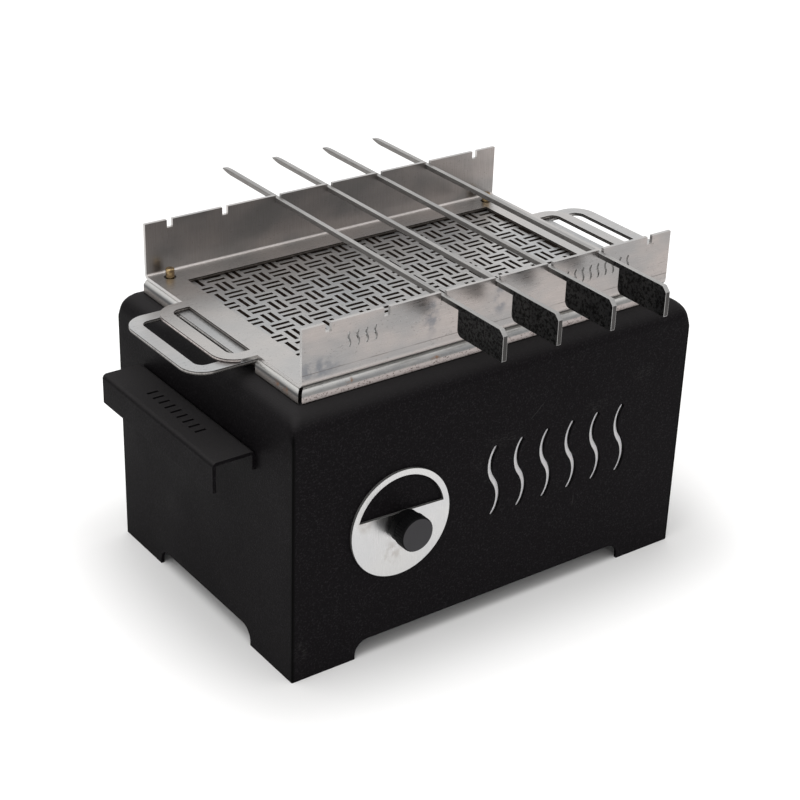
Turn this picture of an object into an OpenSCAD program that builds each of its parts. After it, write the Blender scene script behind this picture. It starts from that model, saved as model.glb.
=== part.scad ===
// Tabletop charcoal grill: a sheet-steel housing on four cut feet, a lift-out stainless firebox,
// a woven-pattern cooking grate, a skewer frame with notched flanges, and a turning air vent.
// The front faces -Y, +Z is up, and the housing stands on z = 0.

/* [Housing] */
// Outside width of the housing, left to right
body_w = 400; // [380:1:430]
// Outside depth of the housing, front to back
body_d = 272; // [258:1:290]
// Height of the deck above the table
body_h = 236; // [228:1:250]
// Thickness of the housing sheet
body_sheet = 3; // [2:0.5:4]
// Outside radius of the rolled top edges
top_radius = 18; // [12:1:20]
// Outside radius of the upright corners
corner_radius = 1; // [1:0.5:4]
// Width of the front and rear cut-outs between the feet
foot_gap_w = 280; // [220:1:300]
// Width of the side cut-outs between the feet
foot_gap_d = 147; // [120:1:170]
// Height of the cut-outs between the feet
foot_gap_h = 16; // [13:1:20]
// Radius of the upper corners of the foot cut-outs
foot_radius = 12; // [6:1:12]

/* [Heat-wave slots] */
// Number of wavy slots in the front wall
wave_count = 6; // [2:1:6]
// Distance from one wavy slot to the next
wave_pitch = 27; // [20:1:28]
// Height of a wavy slot
wave_h = 66; // [50:1:80]
// Width of a wavy slot
wave_w = 5; // [4:0.5:9]
// Radius of the bends of a wavy slot
wave_bend = 26; // [22:1:40]
// Distance of the row's middle from the housing's middle
wave_mid_x = 62; // [55:1:70]
// Height of the row's middle above the table
wave_mid_z = 124; // [110:1:140]

/* [Insulation board] */
// Thickness of the board behind the wavy slots
board_t = 6; // [4:0.5:10]
// Border of the board round the row of wavy slots
board_border = 12; // [6:1:16]

/* [Air vent] */
// Distance of the vent's axis from the housing's left wall
vent_inset = 100; // [88:0.1:112]
// Height of the vent's axis above the table
vent_z = 116.8; // [100:0.1:130]
// Radius of the vent disc
vent_radius = 47.2; // [44:0.1:52]
// Thickness of the vent disc
vent_sheet = 2.5; // [1.5:0.5:3]
// Width of the ring left round the half-moon window
vent_ring = 5.2; // [4:0.1:8]
// Height of the window's straight edge above the axis
vent_chord = 9.7; // [9:0.1:16]
// How far the disc is turned to the right at rest, in degrees
vent_turn = 2.1; // [0:0.1:6]
// Running gap between the disc and the housing
vent_gap = 0.2; // [0.1:0.05:0.4]
// Radius of the stud that the disc turns on
stud_radius = 4; // [3:0.5:5]
// Radial clearance of pins and studs in their holes
pin_clearance = 0.05; // [0.02:0.01:0.1]

/* [Vent knob] */
// Radius of the knob's head
knob_radius = 15; // [13:0.5:17]
// Reach of the knob from the disc
knob_reach = 22.2; // [17:0.1:24]
// Length of the knob's narrow neck
neck_len = 3; // [2:0.5:4]
// Radius of the knob's narrow neck
neck_radius = 8; // [7:0.5:9]
// Length of the collar behind the head
collar_len = 7; // [4:0.5:8]
// Width of the groove between collar and head
groove_w = 2; // [1:0.1:3]
// Depth of the groove between collar and head
groove_depth = 2; // [0.8:0.1:2.4]
// Number of grip flutes round the head
flute_count = 36; // [24:1:44]
// Radius of a grip flute
flute_radius = 0.9; // [0.6:0.1:1]
// Depth of a grip flute
flute_depth = 0.35; // [0.2:0.05:0.5]

/* [Firebox] */
// Distance from the housing's outer face in to the rim's outer face
rim_inset = 15.9; // [14:0.1:18]
// Overall width of the folded rim
rim_w = 9; // [8:0.5:10]
// Height of the folded rim above the deck
rim_h = 12.3; // [10:0.1:14]
// Outside radius of the rim's outer bend
rim_bend = 5; // [3:0.5:6]
// Thickness of the firebox sheet
liner_sheet = 2; // [1.5:0.5:2]
// Open gap beside each mitred rim corner
mitre_gap = 2; // [1:0.5:3]
// Height of the firebox's underside above the table
liner_floor_z = 50; // [46:1:58]
// Gap between the firebox and the deck opening
deck_gap = 1.8; // [1:0.1:2.5]
// Number of air slots in each long wall of the firebox
air_count = 7; // [3:1:7]
// Length of an air slot
air_w = 26; // [12:1:30]
// Height of an air slot
air_h = 8; // [5:1:9]
// Distance from the firebox's end walls to the middle of the last air slots
air_inset = 37.2; // [30:0.1:50]
// Height of the air slots above the table
air_z = 76; // [74:1:82]

/* [Ledges] */
// Distance from the firebox's end walls to the ends of the ledges
ledge_inset = 25.2; // [10:0.1:60]
// Reach of the cooking grate's ledges
ledge_w = 8; // [6:0.5:9]
// Reach of the charcoal grate's ledges
coal_ledge_w = 12; // [8:0.5:16]
// Height of the ledges' upright legs
ledge_drop = 10; // [8:1:12]

/* [Charcoal grate] */
// Height of the charcoal grate's underside above the table
coal_z = 100; // [98:1:112]
// Thickness of the charcoal grate
coal_t = 3; // [2:0.5:4]
// Gap all round the charcoal grate
coal_gap = 1.5; // [1:0.5:3]
// Columns of slots in the charcoal grate
coal_cols = 17; // [8:1:17]
// Rows of slots in the charcoal grate
coal_rows = 3; // [1:1:3]
// Distance between columns of slots
coal_pitch_x = 19; // [16:0.5:19.5]
// Distance between rows of slots
coal_pitch_y = 62; // [60:1:64]
// Width of a charcoal grate slot
coal_slot_w = 8; // [5:0.5:10]
// Length of a charcoal grate slot
coal_slot_len = 50; // [30:1:52]

/* [Cooking grate] */
// Thickness of the cooking grate
grate_t = 3; // [2.5:0.5:3.5]
// Gap between the cooking grate and the firebox walls
grate_gap = 0.5; // [0.3:0.1:1]
// Size of one cell of the woven pattern
cell_pitch = 17.85; // [17.7:0.05:17.95]
// Columns of cells
cell_cols = 18; // [8:2:18]
// Rows of cells
cell_rows = 11; // [5:2:11]
// Width of a grate slot
slot_w = 3.5; // [2.5:0.1:3.8]
// Length of a grate slot
slot_len = 17.2; // [14:0.1:17.4]
// Distance between the two slots of a cell
slot_spread = 7; // [6:0.1:8]
// Width of the grate's end handles
grate_handle_w = 115; // [100:1:120]
// Reach of the grate's end handles past the housing
grate_handle_reach = 38.4; // [36:0.1:46]
// Width of the grate handles' grip bar
grate_bar = 11.5; // [9:0.5:14]
// Width of the finger slot in a grate handle
grate_finger_w = 34.9; // [30:0.1:36]
// Width of the handle's arms beside the finger slot
grate_arm = 11.5; // [9:0.5:14]
// Side clearance of the handle necks in the rim
neck_gap = 0.3; // [0.2:0.1:1]
// Outside corner radius of the handles
handle_radius = 20; // [14:1:22]
// Outer corner radius of the finger slots
finger_radius = 8; // [4:1:8]

/* [Locating pins] */
// Radius of a locating pin
pin_radius = 3.75; // [3:0.25:4]
// Height of a locating pin above the skewer frame's plate
pin_stand = 8; // [6:0.5:12]
// Distance of a pin from the cooking grate's end edge
pin_inset_x = 8.7; // [7.2:0.1:9]
// Distance of a pin from the cooking grate's front or rear edge
pin_inset_y = 5.1; // [4.9:0.1:6]
// Radius of the pin's foot in the grate
pin_foot_radius = 2.5; // [2:0.25:3]
// Chamfer at the top of a pin
pin_chamfer = 0.6; // [0.4:0.1:1.5]
// Radial gap of the frame's holes round the pins
pin_hole_gap = 1.4; // [0.8:0.1:1.5]

/* [Skewer frame] */
// Thickness of the skewer frame's sheet
frame_t = 3; // [2:0.5:3]
// Distance of the frame's ends inside the rim's outer face
frame_inset_x = 2.2; // [1:0.1:3]
// Distance of the flanges inside the rim's outer face
frame_inset_y = 0.5; // [0.3:0.1:2.5]
// Height of the flanges from the plate's underside
flange_h = 48.9; // [44:0.1:56]
// Outside radius of the frame's bends
frame_bend = 5; // [3.5:0.5:6]
// Width of the frame's plate beside the window
frame_border_x = 25.3; // [22:0.1:26]
// Depth of the frame's plate in front of and behind the window
frame_border_y = 26.6; // [22:0.1:28]
// Width of the frame's end handles
frame_handle_w = 114.6; // [100:0.1:116]
// Reach of the frame's end handles past the frame
frame_handle_reach = 28.8; // [26:0.1:32]
// Width of the frame handles' grip bar
frame_bar = 11.5; // [9:0.5:12]
// Width of the finger slot in a frame handle
frame_finger_w = 17.5; // [16:0.1:19]
// Width of the handle's arms beside the finger slot
frame_arm = 10.8; // [9:0.1:14]
// Number of notches in each flange
notch_count = 7; // [7:1:7]
// Distance from one notch to the next
notch_pitch = 52.9; // [48:0.1:56]
// Width of a notch
notch_w = 5.4; // [5:0.1:6]
// Depth of a notch
notch_depth = 7; // [6:0.5:9]

/* [Skewers] */
// Thickness of a skewer
skewer_t = 4.5; // [3:0.1:5]
// Overall length of a skewer
skewer_len = 403; // [390:1:420]
// Height of a skewer's blade
blade_h = 4.3; // [3.5:0.1:6]
// Length of the pointed tip
tip_len = 15; // [8:1:20]
// Length of a skewer's grip plate
grip_len = 55.2; // [45:0.1:60]
// Least distance from the front flange to a grip plate
grip_gap = 20.3; // [10:0.1:40]
// Height of a skewer's grip plate
grip_h = 25.5; // [20:0.5:30]
// Radius of the grip plate's rear lower corner
grip_radius = 5.5; // [3:0.5:8]
// Chamfer at the grip plate's upper front corner
grip_chamfer = 4.5; // [2:0.5:6]

/* [Carry handles] */
// Length of a carry handle
carry_len = 177; // [150:1:190]
// Distance of the handles' middle behind the housing's middle
carry_back = 5; // [0:1:10]
// Height of a carry handle's top face above the table
carry_top_z = 185.5; // [170:0.5:200]
// Reach of a carry handle from the housing wall
carry_reach = 38; // [34:0.1:44]
// Thickness of a carry handle's sheet
carry_sheet = 3; // [2:0.5:3.5]
// Outside radius of a carry handle's bends
carry_bend = 4; // [4:0.5:6]
// Height of a carry handle's hanging grip
carry_grip_h = 26.2; // [22:0.1:34]
// Height of the leg that is bolted to the wall
carry_leg_h = 16; // [15:0.5:20]
// Number of slots in a carry handle's top
mark_count = 9; // [3:1:9]
// Distance from one slot to the next
mark_pitch = 9.5; // [8:0.5:12]
// Length of a slot in a carry handle's top
mark_len = 10; // [6:0.5:14]
// Width of a slot in a carry handle's top
mark_w = 2.4; // [1.6:0.1:3]

/* [Fasteners] */
// Distance between the two bolts of a carry handle
bolt_spread = 130; // [100:1:140]
// Radius of a handle bolt's shank
bolt_radius = 2.5; // [2:0.25:3]
// Radius of a handle bolt's head
bolt_head_radius = 4.6; // [4:0.1:5]
// Height of a handle bolt's head
bolt_head_h = 2.8; // [2:0.1:3.5]
// Distance across the flats of a handle nut
bolt_nut_flat = 8; // [7:0.5:9]
// Height of a handle nut
bolt_nut_h = 4; // [3:0.5:5]
// Radius of the vent washer
washer_radius = 12; // [10:0.5:14]
// Thickness of the vent washer
washer_t = 1.5; // [1:0.25:2]
// Distance across the flats of the vent nut
vent_nut_flat = 13; // [12:0.5:14]
// Height of the vent nut
vent_nut_h = 6.5; // [5:0.5:7]
// Thread left proud of a nut
thread_proud = 1.2; // [0.5:0.1:2]

/* [Base plate] */
// Height of the base plate's underside above the table
base_z = 24; // [23:1:28]
// Thickness of the base plate and its brackets
base_sheet = 2; // [1.5:0.5:2.5]
// Gap between the base plate and the walls
base_gap = 0.3; // [0.2:0.1:1]
// Side of a corner bracket
bracket_side = 26; // [22:1:30]
// Height of a corner bracket's upright leg
bracket_h = 18; // [12:1:18]
// Radius of a base screw's shank
screw_radius = 2.5; // [2:0.25:3]
// Radius of a base screw's head
screw_head_radius = 4.6; // [4:0.1:5]
// Height of a base screw's head
screw_head_h = 2.6; // [2:0.1:3]
// Depth of the hexagon socket in a screw's head
socket_depth = 1.5; // [1:0.1:1.6]

/* [Hidden] */
$fn = 64;

// Overrun of every cut past the face that it leaves
over = 1;
// Facets of each bend of a wavy slot
wave_steps = 12;
// Straight length left between the two rounded corners at the end of a slot
slot_end_flat = 0.5;

// Faces of the housing
wall_x = body_w / 2;
wall_y = body_d / 2;
inner_corner = max(corner_radius - body_sheet, corner_radius / 4);

// Faces of the firebox and its rim
rim_x = wall_x - rim_inset;
rim_y = wall_y - rim_inset;
liner_x = rim_x - rim_w;
liner_y = rim_y - rim_w;
rim_top = body_h + rim_h;
liner_top = rim_top - grate_t;
air_pitch = 2 * (liner_x - air_inset) / (air_count - 1);
ledge_len = 2 * (liner_x - ledge_inset);

// Faces of the cooking grate
grate_x = liner_x - grate_gap;
grate_y = liner_y - grate_gap;
grate_z = liner_top;
grate_reach = wall_x + grate_handle_reach;
pin_x = grate_x - pin_inset_x;
pin_y = grate_y - pin_inset_y;

// Faces of the skewer frame
frame_x = rim_x - frame_inset_x;
frame_y = rim_y - frame_inset_y;
frame_z = rim_top;
flange_top = frame_z + flange_h;
frame_reach = frame_x + frame_handle_reach;
notch_z = flange_top - notch_depth;

// Each skewer's notch, counted from the left, and how much further forward it is pulled
skewer_notches = [2, 3, 4, 5];
skewer_pull_shares = [0, 0.005, 0.094, 0.232];
skewer_starts = [for (s = skewer_pull_shares) -frame_y - grip_gap * (1 + s) - grip_len];
// Where each skewer sits across its front and rear notch, in shares of the side play
skewer_front_shares = [0.75, 0.13, -0.69, -0.73];
skewer_rear_shares = [0.85, -0.85, -0.85, 0.85];
skewer_play = (notch_w - skewer_t) / 2;
// Radius of the grip plate's front lower corner, as a share of the rear one's
front_corner_share = 0.2;
// Outline of the tip: distances back from the point and heights, as shares of the tip and blade
tip_top_shares = [[0, 0.62], [0.12, 0.78], [0.35, 0.91], [0.65, 0.98], [1, 1]];
tip_low_shares = [[1, 0], [0.7, 0.06], [0.4, 0.22], [0.15, 0.42]];

// The origin is on the table, under the middle of the whole grill with its skewers
middle_y = (min(skewer_starts) + max(skewer_starts) + skewer_len) / 2;

// Axis and layers of the vent, outward and inward from the front wall
vent_x = wall_x - vent_inset;
disc_back = -wall_y - vent_gap;
disc_front = disc_back - vent_sheet;
washer_front = -wall_y + body_sheet + vent_gap;
nut_front = washer_front + washer_t;
stud_end = nut_front + vent_nut_h + thread_proud;
window_radius = vent_radius - vent_ring;
stud_depth = knob_reach / 2;

// Places of the carry handle bolts
bolt_z = carry_top_z - carry_sheet - (carry_leg_h - carry_sheet) / 2;
nut_x = wall_x - body_sheet;

// Places of the base screws
bracket_x = wall_x - body_sheet;
bracket_y = wall_y - body_sheet;
bracket_z = base_z + base_sheet;
socket_flat_share = 0.55;

// Small marks cut in the front flange: two rows of short waves
small_wave_h = 13;
small_wave_w = 1.8;
small_wave_bend = 5;
small_wave_steps = 5;
small_wave_pitch = 8;
small_wave_drop_share = 0.37;
small_wave_z = flange_top - flange_h * small_wave_drop_share;
left_mark_x = -128;
right_mark_x = 104;
left_mark_count = 4;
right_mark_count = 9;

module in_frame() {
    translate([0, -middle_y, 0]) children();
}

// Solid from a plan outline, from height z up
module slab(z, t) {
    translate([0, 0, z]) linear_extrude(t) children();
}

// Solid from an outline in depth and height, along X
module along_x(x0, x1) {
    translate([x0, 0, 0]) rotate([90, 0, 90]) linear_extrude(x1 - x0) children();
}

// Solid from an outline in width and height, along Y
module along_y(y0, y1) {
    translate([0, y1, 0]) rotate([90, 0, 0]) linear_extrude(y1 - y0) children();
}

// What is cut away to round a corner at the origin
module corner_cut(r) {
    difference() {
        translate([-over, -over]) square(r + over);
        translate([r, r]) circle(r);
    }
}

// Rectangle with a radius of its own at each corner: lower left, lower right, upper right, upper left
module panel(x0, x1, y0, y1, ll = 0, lr = 0, ur = 0, ul = 0) {
    difference() {
        translate([x0, y0]) square([x1 - x0, y1 - y0]);
        if (ll > 0) translate([x0, y0]) corner_cut(ll);
        if (lr > 0) translate([x1, y0]) mirror([1, 0, 0]) corner_cut(lr);
        if (ur > 0) translate([x1, y1]) rotate(180) corner_cut(ur);
        if (ul > 0) translate([x0, y1]) mirror([0, 1, 0]) corner_cut(ul);
    }
}

// Folded strip in section, open below: a left leg, a top and a right leg
module channel(w, h, sheet, left_bend, right_bend) {
    difference() {
        panel(0, w, 0, h, ul = left_bend, ur = right_bend);
        panel(sheet, w - sheet, -over, h - sheet,
            ul = max(left_bend - sheet, 0), ur = max(right_bend - sheet, 0));
    }
}

// Hexagon by its distance across the flats
module hexagon(flat) {
    circle(r = flat / sqrt(3), $fn = 6);
}

// Half-moon: what a straight edge leaves of a circle
module half_moon(r, chord) {
    intersection() {
        circle(r);
        translate([-r, chord]) square([2 * r, r]);
    }
}

// Points of the upper half of a wavy slot, from the middle's right side round the top to its left side
function wave_half(height, width, bend, steps) = let (
    rise = (height - width) / 2,
    lean = asin(rise / 2 / bend),
    hub = [bend * cos(lean), rise / 2]
) concat(
    [for (i = [0 : steps]) let (a = lean * (2 * i / steps - 1))
        hub + (bend - width / 2) * [-cos(a), sin(a)]],
    [for (i = [1 : steps - 1]) let (a = 180 * i / steps - lean)
        [0, rise] + width / 2 * [cos(a), sin(a)]],
    [for (i = [0 : steps - 1]) let (a = lean * (1 - 2 * i / steps))
        hub + (bend + width / 2) * [-cos(a), sin(a)]]
);

// Wavy slot with round ends, centred on the origin
module wave(height, width, bend, steps) {
    half = wave_half(height, width, bend, steps);
    polygon(concat(half, [for (p = half) -p]));
}

module wave_row(count, pitch, height, width, bend, steps) {
    for (i = [0 : count - 1]) {
        translate([(i - (count - 1) / 2) * pitch, 0]) wave(height, width, bend, steps);
    }
}

// Block with rolled top edges and rounded upright corners
module rolled_block(w, d, z0, h, top_r, side_r) {
    intersection() {
        along_y(-d / 2, d / 2) panel(-w / 2, w / 2, z0, h, ul = top_r, ur = top_r);
        along_x(-w / 2, w / 2) panel(-d / 2, d / 2, z0, h, ul = top_r, ur = top_r);
        slab(z0, h - z0)
            panel(-w / 2, w / 2, -d / 2, d / 2, ll = side_r, lr = side_r, ur = side_r, ul = side_r);
    }
}

module foot_cutouts() {
    along_y(-wall_y - over, wall_y + over)
        panel(-foot_gap_w / 2, foot_gap_w / 2, -over, foot_gap_h, ul = foot_radius, ur = foot_radius);
    along_x(-wall_x - over, wall_x + over)
        panel(-foot_gap_d / 2, foot_gap_d / 2, -over, foot_gap_h, ul = foot_radius, ur = foot_radius);
}

module front_wall_cuts() {
    along_y(-wall_y - over, -wall_y + body_sheet + over) {
        translate([wave_mid_x, wave_mid_z])
            wave_row(wave_count, wave_pitch, wave_h, wave_w, wave_bend, wave_steps);
        translate([-vent_x, vent_z]) circle(stud_radius + pin_clearance);
        translate([-vent_x, vent_z]) rotate(180) half_moon(window_radius, vent_chord);
    }
}

module handle_bolt_holes() {
    for (side = [-1, 1]) {
        for (end = [-1, 1]) {
            translate([side * wall_x, carry_back + end * bolt_spread / 2, bolt_z])
                rotate([0, side * 90, 0])
                translate([0, 0, -body_sheet - over])
                cylinder(r = bolt_radius + pin_clearance, h = body_sheet + 2 * over);
        }
    }
}

module outer_housing() {
    deck_x = liner_x + liner_sheet + deck_gap;
    deck_y = liner_y + liner_sheet + deck_gap;
    color([0.09, 0.09, 0.1]) in_frame() difference() {
        rolled_block(body_w, body_d, 0, body_h, top_radius, corner_radius);
        rolled_block(body_w - 2 * body_sheet, body_d - 2 * body_sheet, -over, body_h - body_sheet,
            top_radius - body_sheet, inner_corner);
        slab(body_h - body_sheet - over, body_sheet + 2 * over)
            panel(-deck_x, deck_x, -deck_y, deck_y);
        foot_cutouts();
        front_wall_cuts();
        handle_bolt_holes();
    }
}

module base_screw_places() {
    for (sx = [-1, 1]) {
        for (sy = [-1, 1]) {
            translate([sx * (bracket_x - bracket_side / 2), sy * (bracket_y - bracket_side / 2), 0])
                children();
        }
    }
}

module base_plate() {
    plate_x = wall_x - body_sheet - base_gap;
    plate_y = wall_y - body_sheet - base_gap;
    r = corner_radius;
    color([0.62, 0.63, 0.64]) in_frame() difference() {
        slab(base_z, base_sheet) panel(-plate_x, plate_x, -plate_y, plate_y, ll = r, lr = r, ur = r, ul = r);
        base_screw_places() translate([0, 0, base_z - over])
            cylinder(r = screw_radius + pin_clearance, h = base_sheet + 2 * over);
    }
}

module corner_brackets() {
    color([0.6, 0.6, 0.62]) in_frame() {
        for (sx = [-1, 1]) {
            for (sy = [-1, 1]) {
                scale([sx, sy, 1]) difference() {
                    union() {
                        slab(bracket_z, base_sheet)
                            panel(bracket_x - bracket_side, bracket_x,
                                bracket_y - bracket_side, bracket_y - corner_radius);
                        slab(bracket_z, bracket_h)
                            panel(bracket_x - base_sheet, bracket_x,
                                bracket_y - bracket_side, bracket_y - corner_radius);
                    }
                    translate([bracket_x - bracket_side / 2, bracket_y - bracket_side / 2, bracket_z - over])
                        cylinder(r = screw_radius + pin_clearance, h = base_sheet + 2 * over);
                }
            }
        }
    }
}

// Socket screw standing on its head, with the head's inner face at z = 0
module socket_screw(shank_r, shank_len, head_r, head_h) {
    difference() {
        union() {
            translate([0, 0, -head_h]) cylinder(r = head_r, h = head_h);
            translate([0, 0, -head_h / 2]) cylinder(r = shank_r, h = shank_len + head_h / 2);
        }
        translate([0, 0, -head_h - over]) linear_extrude(over + socket_depth)
            hexagon(2 * head_r * socket_flat_share);
    }
}

module base_plate_screws() {
    color([0.7, 0.7, 0.72]) in_frame() base_screw_places() translate([0, 0, base_z])
        socket_screw(screw_radius, 2 * base_sheet + thread_proud, screw_head_radius, screw_head_h);
}

// Carry handle on the right, in section: the leg on the wall, the top and the hanging grip
module carry_section() {
    grip_z = carry_top_z - carry_grip_h;
    difference() {
        translate([wall_x, grip_z])
            channel(carry_reach, carry_grip_h, carry_sheet, carry_bend, carry_bend);
        translate([wall_x - over, grip_z - over])
            square([carry_sheet + 2 * over, carry_grip_h - carry_leg_h + over]);
    }
}

module carry_marks() {
    mark_x = wall_x + carry_reach / 2;
    for (i = [0 : mark_count - 1]) {
        translate([mark_x, carry_back + (i - (mark_count - 1) / 2) * mark_pitch])
            panel(-mark_len / 2, mark_len / 2, -mark_w / 2, mark_w / 2);
    }
}

module carry_handle(side) {
    color([0.1, 0.1, 0.11]) in_frame() scale([side, 1, 1]) difference() {
        along_y(carry_back - carry_len / 2, carry_back + carry_len / 2) carry_section();
        slab(carry_top_z - carry_sheet - over, carry_sheet + 2 * over) carry_marks();
        for (end = [-1, 1]) {
            translate([wall_x - over, carry_back + end * bolt_spread / 2, bolt_z]) rotate([0, 90, 0])
                cylinder(r = bolt_radius + pin_clearance, h = carry_sheet + 2 * over);
        }
    }
}

module left_carry_handle() {
    carry_handle(-1);
}

module right_carry_handle() {
    carry_handle(1);
}

module bolt_places(side) {
    for (end = [-1, 1]) {
        translate([0, carry_back + end * bolt_spread / 2, bolt_z]) scale([side, 1, 1]) children();
    }
}

module handle_bolts(side) {
    color([0.2, 0.2, 0.21]) in_frame() bolt_places(side)
        translate([wall_x + carry_sheet, 0, 0]) rotate([0, -90, 0])
        socket_screw(bolt_radius, carry_sheet + body_sheet + bolt_nut_h + thread_proud,
            bolt_head_radius, bolt_head_h);
}

module left_handle_bolts() {
    handle_bolts(-1);
}

module right_handle_bolts() {
    handle_bolts(1);
}

module handle_nuts(side) {
    color([0.72, 0.72, 0.74]) in_frame() bolt_places(side)
        translate([nut_x - bolt_nut_h, 0, 0]) rotate([0, 90, 0]) difference() {
            linear_extrude(bolt_nut_h) hexagon(bolt_nut_flat);
            translate([0, 0, -over]) cylinder(r = bolt_radius + pin_clearance, h = bolt_nut_h + 2 * over);
        }
}

module left_handle_nuts() {
    handle_nuts(-1);
}

module right_handle_nuts() {
    handle_nuts(1);
}

// White fibre board bonded to the inner face of the front wall, seen through the wavy slots
module insulation_board() {
    half_w = wave_count * wave_pitch / 2 + board_border;
    half_h = wave_h / 2 + board_border;
    color([0.9, 0.9, 0.91]) in_frame() along_y(-wall_y + body_sheet, -wall_y + body_sheet + board_t)
        translate([wave_mid_x, wave_mid_z]) panel(-half_w, half_w, -half_h, half_h);
}

module vent_disc() {
    color([0.8, 0.8, 0.81]) in_frame() along_y(disc_front, disc_back)
        translate([-vent_x, vent_z]) difference() {
            circle(vent_radius, $fn = 128);
            rotate(-vent_turn) half_moon(window_radius, vent_chord);
            circle(stud_radius + pin_clearance);
        }
}

// Outline of the knob in radius and distance from the disc
module knob_outline() {
    collar_end = neck_len + collar_len;
    head_start = collar_end + groove_w;
    edge = groove_depth / 2;
    polygon([[0, 0], [neck_radius, 0], [neck_radius, neck_len],
        [knob_radius - 2 * edge, neck_len], [knob_radius - edge, neck_len + edge],
        [knob_radius - edge, collar_end], [knob_radius - groove_depth - edge, collar_end + groove_w / 2],
        [knob_radius, head_start], [knob_radius, knob_reach - edge],
        [knob_radius - edge, knob_reach], [0, knob_reach]]);
}

module vent_knob() {
    head_start = neck_len + collar_len + groove_w / 2;
    color([0.07, 0.07, 0.08]) in_frame() translate([-vent_x, disc_front, vent_z]) rotate([90, 0, 0])
        difference() {
            rotate_extrude() knob_outline();
            translate([0, 0, -over]) cylinder(r = stud_radius + pin_clearance, h = stud_depth + over);
            for (i = [0 : flute_count - 1]) {
                rotate(i * 360 / flute_count)
                    translate([knob_radius + flute_radius - flute_depth, 0, head_start])
                    cylinder(r = flute_radius, h = knob_reach - head_start + over, $fn = 16);
            }
        }
}

module vent_stud() {
    color([0.7, 0.7, 0.72]) in_frame() translate([-vent_x, stud_end, vent_z]) rotate([90, 0, 0])
        cylinder(r = stud_radius, h = stud_end - disc_front + stud_depth);
}

module vent_washer() {
    color([0.75, 0.75, 0.77]) in_frame() along_y(washer_front, washer_front + washer_t)
        translate([-vent_x, vent_z]) difference() {
            circle(washer_radius);
            circle(stud_radius + pin_clearance);
        }
}

module vent_nut() {
    color([0.72, 0.72, 0.74]) in_frame() along_y(nut_front, nut_front + vent_nut_h)
        translate([-vent_x, vent_z]) difference() {
            hexagon(vent_nut_flat);
            circle(stud_radius + pin_clearance);
        }
}

// One folded rim on the +Y side of a wall whose inner face is half_d from the middle
module rim_side(half_w, half_d) {
    start = half_w - mitre_gap;
    finish = start + rim_w;
    translate([0, half_d, 0]) intersection() {
        along_x(-finish, finish) translate([0, body_h])
            channel(rim_w, rim_h, liner_sheet, grate_t, rim_bend);
        slab(body_h, rim_h)
            polygon([[-start, 0], [start, 0], [finish, rim_w], [-finish, rim_w]]);
    }
}

// Rim on a long side (turn 0 or 180) or on a short side, opened for the grate's handle neck
module rim_end(turn) {
    opening = grate_handle_w / 2 + neck_gap;
    rotate(turn) difference() {
        rim_side(liner_y, liner_x);
        slab(body_h - over, rim_h + 2 * over)
            panel(-opening, opening, liner_x - over, rim_x + over);
    }
}

module liner_box() {
    outer_x = liner_x + liner_sheet;
    outer_y = liner_y + liner_sheet;
    difference() {
        slab(liner_floor_z, liner_top - liner_floor_z) panel(-outer_x, outer_x, -outer_y, outer_y);
        slab(liner_floor_z + liner_sheet, liner_top - liner_floor_z)
            panel(-liner_x, liner_x, -liner_y, liner_y);
    }
}

module air_slots() {
    r = (air_h - slot_end_flat) / 2;
    along_y(-wall_y, wall_y) {
        for (i = [0 : air_count - 1]) {
            translate([(i - (air_count - 1) / 2) * air_pitch, air_z])
                panel(-air_w / 2, air_w / 2, -air_h / 2, air_h / 2, ll = r, lr = r, ur = r, ul = r);
        }
    }
}

module firebox_liner() {
    color([0.74, 0.74, 0.75]) in_frame() difference() {
        union() {
            liner_box();
            rim_side(liner_x, liner_y);
            rotate(180) rim_side(liner_x, liner_y);
            rim_end(90);
            rim_end(270);
        }
        air_slots();
    }
}

// Angle strip welded to the firebox wall on the +Y side, with its top face at height z
module ledge(z, reach) {
    along_x(-ledge_len / 2, ledge_len / 2) difference() {
        translate([liner_y - reach, z - ledge_drop]) square([reach, ledge_drop]);
        translate([liner_y - reach - over, z - ledge_drop - over])
            square([reach - liner_sheet + over, ledge_drop - liner_sheet + over]);
    }
}

module front_grate_ledge() {
    color([0.7, 0.7, 0.71]) in_frame() rotate(180) ledge(grate_z, ledge_w);
}

module rear_grate_ledge() {
    color([0.7, 0.7, 0.71]) in_frame() ledge(grate_z, ledge_w);
}

module front_charcoal_ledge() {
    color([0.66, 0.65, 0.65]) in_frame() rotate(180) ledge(coal_z, coal_ledge_w);
}

module rear_charcoal_ledge() {
    color([0.66, 0.65, 0.65]) in_frame() ledge(coal_z, coal_ledge_w);
}

module charcoal_grate() {
    half_x = liner_x - coal_gap;
    half_y = liner_y - coal_gap;
    r = (coal_slot_w - slot_end_flat) / 2;
    color([0.45, 0.44, 0.43]) in_frame() slab(coal_z, coal_t) difference() {
        panel(-half_x, half_x, -half_y, half_y);
        for (i = [0 : coal_cols - 1]) {
            for (j = [0 : coal_rows - 1]) {
                x = (i - (coal_cols - 1) / 2) * coal_pitch_x;
                y = (j - (coal_rows - 1) / 2) * coal_pitch_y;
                translate([x, y])
                    panel(-coal_slot_w / 2, coal_slot_w / 2, -coal_slot_len / 2, coal_slot_len / 2,
                        ll = r, lr = r, ur = r, ul = r);
            }
        }
    }
}

// Two parallel slots, the cell of the woven pattern
module slot_pair() {
    for (side = [-1, 1]) {
        translate([-slot_len / 2, side * slot_spread / 2 - slot_w / 2]) square([slot_len, slot_w]);
    }
}

module woven_slots() {
    for (i = [0 : cell_cols - 1]) {
        for (j = [0 : cell_rows - 1]) {
            translate([(i - (cell_cols - 1) / 2) * cell_pitch, (j - (cell_rows - 1) / 2) * cell_pitch])
                rotate((i + j + cell_cols / 2 + (cell_rows - 1) / 2) % 2 == 0 ? 90 : 0) slot_pair();
        }
    }
}

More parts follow.
